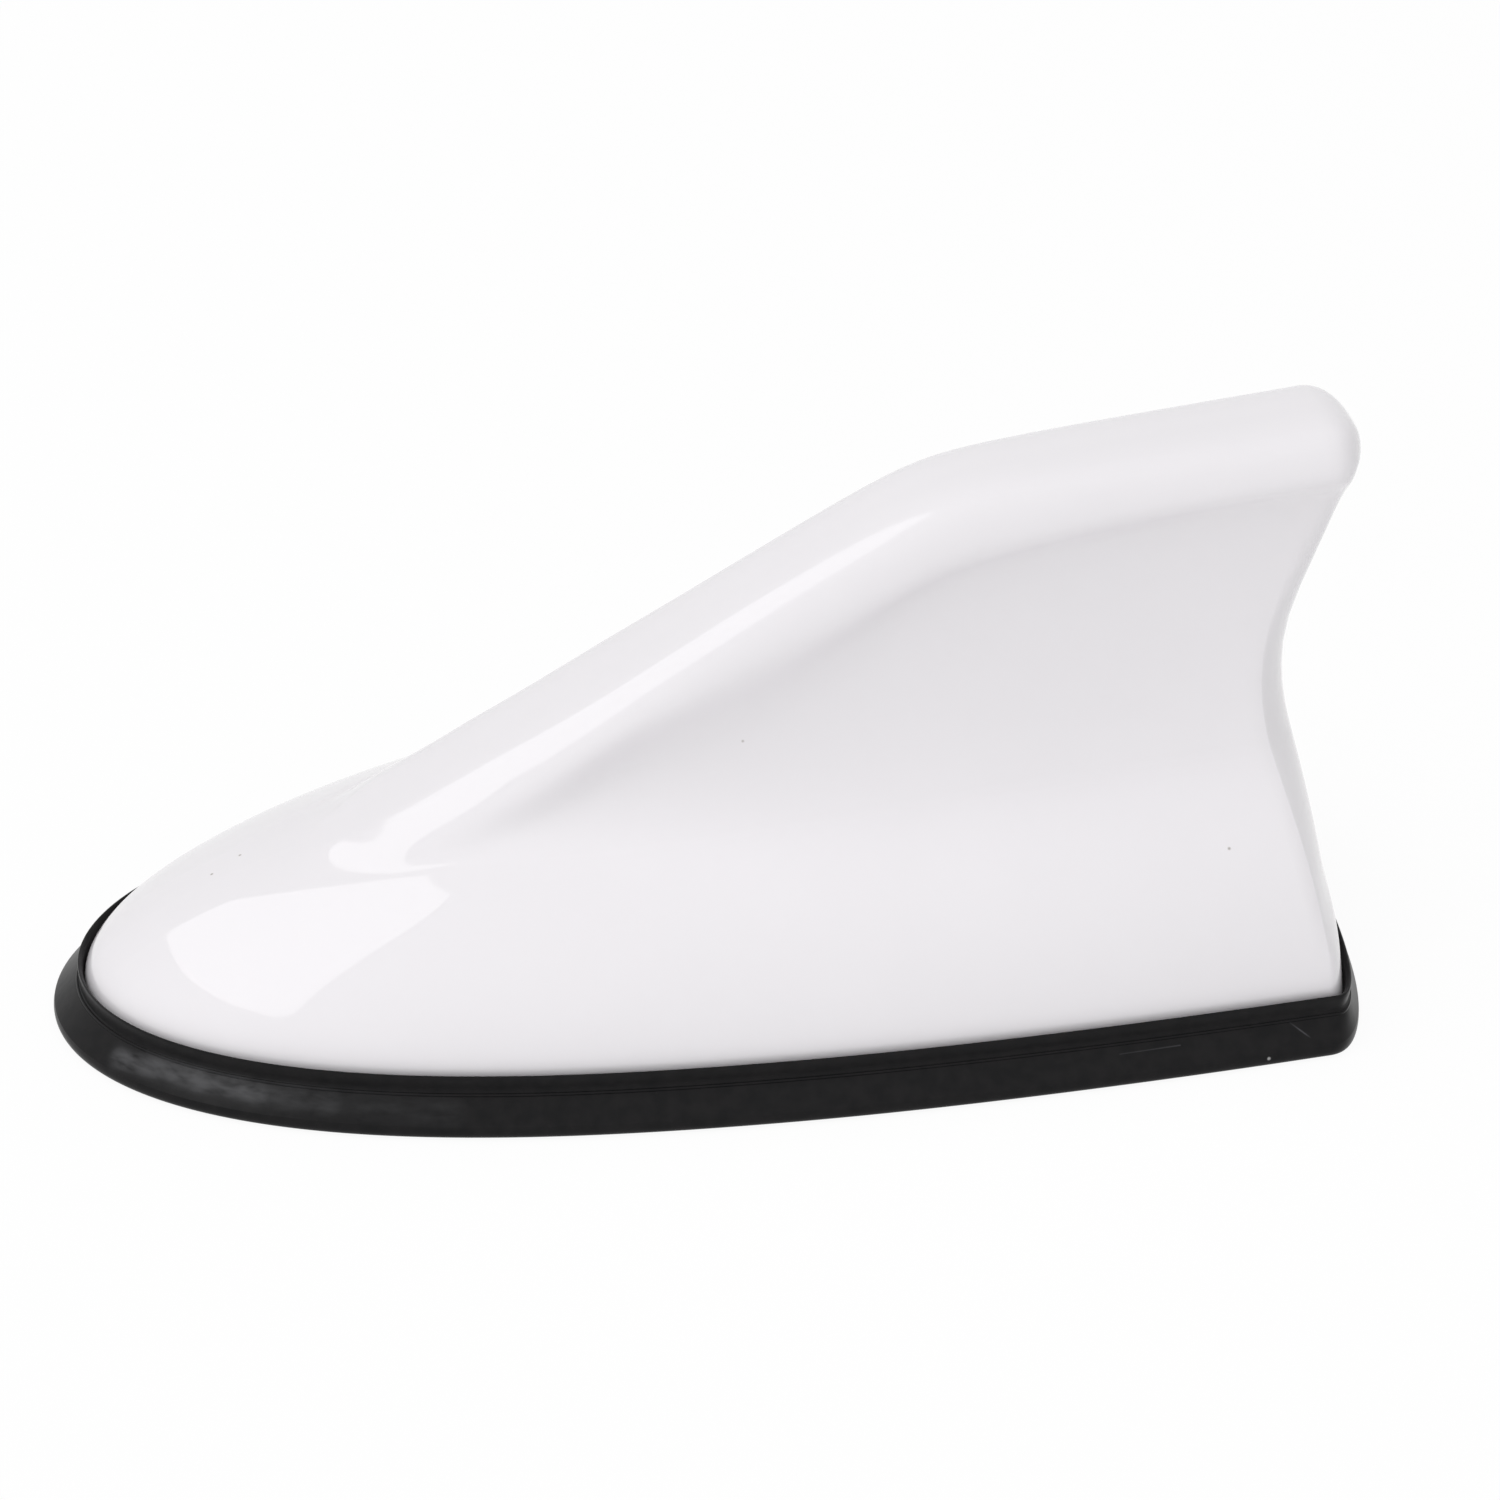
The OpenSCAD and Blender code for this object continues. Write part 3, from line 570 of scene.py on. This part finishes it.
# Base screws. Five zinc-plated self-tapping screws with cross slots, driven up through the plate
# into the shell's bosses. The turned heads show rings of tool marks.
screw_zinc, nodes, links, shader = new_material("zinc-plated steel", (0.6, 0.6, 0.62), 0.32)
shader.inputs["Metallic"].default_value = 1
two_tone(nodes, links, shader, field_of_noise(nodes, links, 900),
         (0.52, 0.52, 0.54), (0.66, 0.66, 0.68))
relief(nodes, links, shader, field_of_noise(nodes, links, 1200, (1, 1, 6)), 0.01)
dress(screw_zinc, "base_screws", "board_screws")


# Foam pads. Closed-cell foam tape die-cut in four pieces and stuck into recesses under the plate.
# It holds the aerial on the roof, and a red release film still covers its lower face.
def layered(nodes, links, shader, field, split_z, low, high):
    """Colours a finish low below a height in millimetres, and high, mottled by a field, above it."""
    place = nodes.new("ShaderNodeTexCoord")
    axes = nodes.new("ShaderNodeSeparateXYZ")
    links.new(place.outputs["Object"], axes.inputs["Vector"])
    above = nodes.new("ShaderNodeMath")
    above.operation = "GREATER_THAN"
    above.inputs[1].default_value = split_z * MM
    links.new(axes.outputs["Z"], above.inputs[0])
    two_tone(nodes, links, shader, field, *high)
    mixed = nodes.new("ShaderNodeMixRGB")
    links.new(above.outputs["Value"], mixed.inputs["Fac"])
    mixed.inputs["Color1"].default_value = (*low, 1)
    links.new(shader.inputs["Base Color"].links[0].from_socket, mixed.inputs["Color2"])
    links.new(mixed.outputs["Color"], shader.inputs["Base Color"])
    return above.outputs["Value"]


pad_foam, nodes, links, shader = new_material("foam tape", (0.05, 0.05, 0.05), 0.6)
cells = field_of_noise(nodes, links, 2600)
film_red, film_top = (0.45, 0.03, 0.025), 0.3
layered(nodes, links, shader, cells, split_z=film_top, low=film_red,
        high=((0.03, 0.03, 0.03), (0.08, 0.08, 0.08)))
relief(nodes, links, shader, cells, 0.05)
dress(pad_foam, "pad_front", "pad_left", "pad_right", "pad_rear")

# Cable gland. A soft black grommet snapped into the plate's middle hole, through which the lead
# leaves. It has a matt skin with a little talc on it.
gland_rubber, nodes, links, shader = new_material("talced rubber", (0.02, 0.02, 0.02), 0.65)
two_tone(nodes, links, shader, field_of_noise(nodes, links, 400),
         (0.014, 0.014, 0.014), (0.04, 0.04, 0.04), low_at=0.45, high_at=0.75)
dress(gland_rubber, "cable_gland")

# Circuit board. Glass-epoxy laminate under green lacquer, with copper tracks that show through as
# a lighter green. It is screwed onto the plate's four posts.
board_green, nodes, links, shader = new_material("lacquered laminate", (0.01, 0.1, 0.04), 0.28)
place = nodes.new("ShaderNodeTexCoord")
tracks = nodes.new("ShaderNodeTexBrick")
tracks.offset = 0.37
tracks.inputs["Scale"].default_value = 1
tracks.inputs["Brick Width"].default_value = 9 * MM
tracks.inputs["Row Height"].default_value = 3.2 * MM
tracks.inputs["Mortar Size"].default_value = 0.35 * MM
tracks.inputs["Color1"].default_value = (0.008, 0.085, 0.03, 1)
tracks.inputs["Color2"].default_value = (0.01, 0.1, 0.038, 1)
tracks.inputs["Mortar"].default_value = (0.03, 0.2, 0.07, 1)
links.new(place.outputs["Object"], tracks.inputs["Vector"])
links.new(tracks.outputs["Color"], shader.inputs["Base Color"])
relief(nodes, links, shader, tracks.outputs["Fac"], 0.03)
dress(board_green, "circuit_board")

# Amplifier chip. A black epoxy package soldered in the middle of the can's field, with a moulded
# dot at the corner of its first leg.
chip_black, nodes, links, shader = new_material("moulded epoxy", (0.02, 0.02, 0.02), 0.55)
two_tone(nodes, links, shader, field_of_noise(nodes, links, 3000),
         (0.015, 0.015, 0.015), (0.028, 0.028, 0.03))
chip_low, chip_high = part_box("amplifier_chip")
dot_in, dot_half_width, dot_grey = 1, 0.4, (0.2, 0.2, 0.19)
dot = (chip_low[0] / MM + dot_in, chip_low[1] / MM + dot_in, chip_high[2] / MM)
mark(nodes, links, shader, dot, dot, dot_half_width, dot_grey)
dress(chip_black, "amplifier_chip")

# Shield can and radiator. Tinned steel sheet, folded over the amplifier as a can and stamped as the
# upright radiator, which is pushed into the slot of its holder. The tin has a rolled, cloudy sheen.
tin, nodes, links, shader = new_material("tinned sheet", (0.68, 0.68, 0.66), 0.3)
shader.inputs["Metallic"].default_value = 1
two_tone(nodes, links, shader, field_of_noise(nodes, links, 250, (1, 1, 8)),
         (0.6, 0.6, 0.58), (0.74, 0.74, 0.72))
relief(nodes, links, shader, field_of_noise(nodes, links, 300, (1, 1, 12)), 0.01)
dress(tin, "shield_can", "radiator")

# Tuning coil. A ferrite bobbin wound with enamelled wire between its two flanges, and soldered on
# the board beside the can.
coil_core, nodes, links, shader = new_material("ferrite bobbin", (0.03, 0.025, 0.022), 0.5)
two_tone(nodes, links, shader, field_of_noise(nodes, links, 1800),
         (0.022, 0.018, 0.016), (0.045, 0.036, 0.03))
bobbin_low, bobbin_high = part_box("tuning_coil")
bobbin_middle = [(low + high) / 2 / MM for low, high in zip(bobbin_low[:2], bobbin_high[:2])]
first_turn, turn_pitch, turn_thick, turn_reach = 1.1, 0.45, 0.05, 2.2
enamel_brown = (0.35, 0.1, 0.03)
for turn in range(5):
    wire_z = bobbin_low[2] / MM + first_turn + turn_pitch * turn
    mark(nodes, links, shader, (*bobbin_middle, wire_z), (*bobbin_middle, wire_z + turn_thick),
         turn_reach, enamel_brown)
dress(coil_core, "tuning_coil")

# Capacitors. Three aluminium cans in dark plastic sleeves, whose bare metal tops show. They are
# soldered on the board in a row behind the tuning coil.
capacitor_case, nodes, links, shader = new_material("sleeved capacitor", (0.03, 0.04, 0.08), 0.35)
capacitor_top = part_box("capacitors")[1][2] / MM
sleeve_blue, bare_height = (0.02, 0.03, 0.07), 0.4
bare = layered(nodes, links, shader, field_of_noise(nodes, links, 900),
               split_z=capacitor_top - bare_height, low=sleeve_blue,
               high=((0.6, 0.6, 0.61), (0.75, 0.75, 0.76)))
links.new(bare, shader.inputs["Metallic"])
dress(capacitor_case, "capacitors")

# Lead socket. A gold-washed brass coaxial socket at the front edge of the board, which takes the
# lead's inner plug.
socket_brass, nodes, links, shader = new_material("gold-washed brass", (0.75, 0.55, 0.2), 0.25)
shader.inputs["Metallic"].default_value = 1
two_tone(nodes, links, shader, field_of_noise(nodes, links, 700),
         (0.66, 0.47, 0.16), (0.8, 0.6, 0.25))
relief(nodes, links, shader, field_of_noise(nodes, links, 1500), 0.01)
dress(socket_brass, "lead_socket")

# Holder and former. Natural plastic mouldings, slightly milky, that hold the radiator upright and
# carry the winding. Both are pegged and glued to the board.
natural, nodes, links, shader = new_material("natural plastic", (0.72, 0.7, 0.62), 0.45)
two_tone(nodes, links, shader, field_of_noise(nodes, links, 200),
         (0.68, 0.66, 0.57), (0.76, 0.74, 0.67))
relief(nodes, links, shader, field_of_noise(nodes, links, 1600), 0.01)
shader.inputs["Subsurface Weight"].default_value = 0.15
shader.inputs["Subsurface Scale"].default_value = 1 * MM
dress(natural, "radiator_holder", "coil_former")

# Contact spring. A bent leaf of spring bronze that presses on the radiator and is soldered to the
# board by its foot.
spring_bronze, nodes, links, shader = new_material("spring bronze", (0.7, 0.42, 0.2), 0.28)
shader.inputs["Metallic"].default_value = 1
two_tone(nodes, links, shader, field_of_noise(nodes, links, 500, (6, 1, 1)),
         (0.6, 0.35, 0.16), (0.76, 0.48, 0.24))
dress(spring_bronze, "contact_spring")

# Aerial coil. Copper wire wound in an open helix round the former, which fills its middle. Clear
# enamel covers the wire.
wire_copper, nodes, links, shader = new_material("enamelled copper", (0.6, 0.22, 0.09), 0.3)
shader.inputs["Metallic"].default_value = 1
shader.inputs["Coat Weight"].default_value = 0.6
two_tone(nodes, links, shader, field_of_noise(nodes, links, 800),
         (0.5, 0.17, 0.06), (0.68, 0.27, 0.12))
dress(wire_copper, "aerial_coil")

# Foam cap. A plug of open-cell foam glued on the former, which keeps it from rattling in the
# shell.
cap_foam, nodes, links, shader = new_material("open-cell foam", (0.08, 0.08, 0.09), 0.95)
pores = field_of_noise(nodes, links, 3000)
two_tone(nodes, links, shader, pores, (0.03, 0.03, 0.035), (0.13, 0.13, 0.14))
relief(nodes, links, shader, pores, 0.3)
dress(cap_foam, "foam_cap")
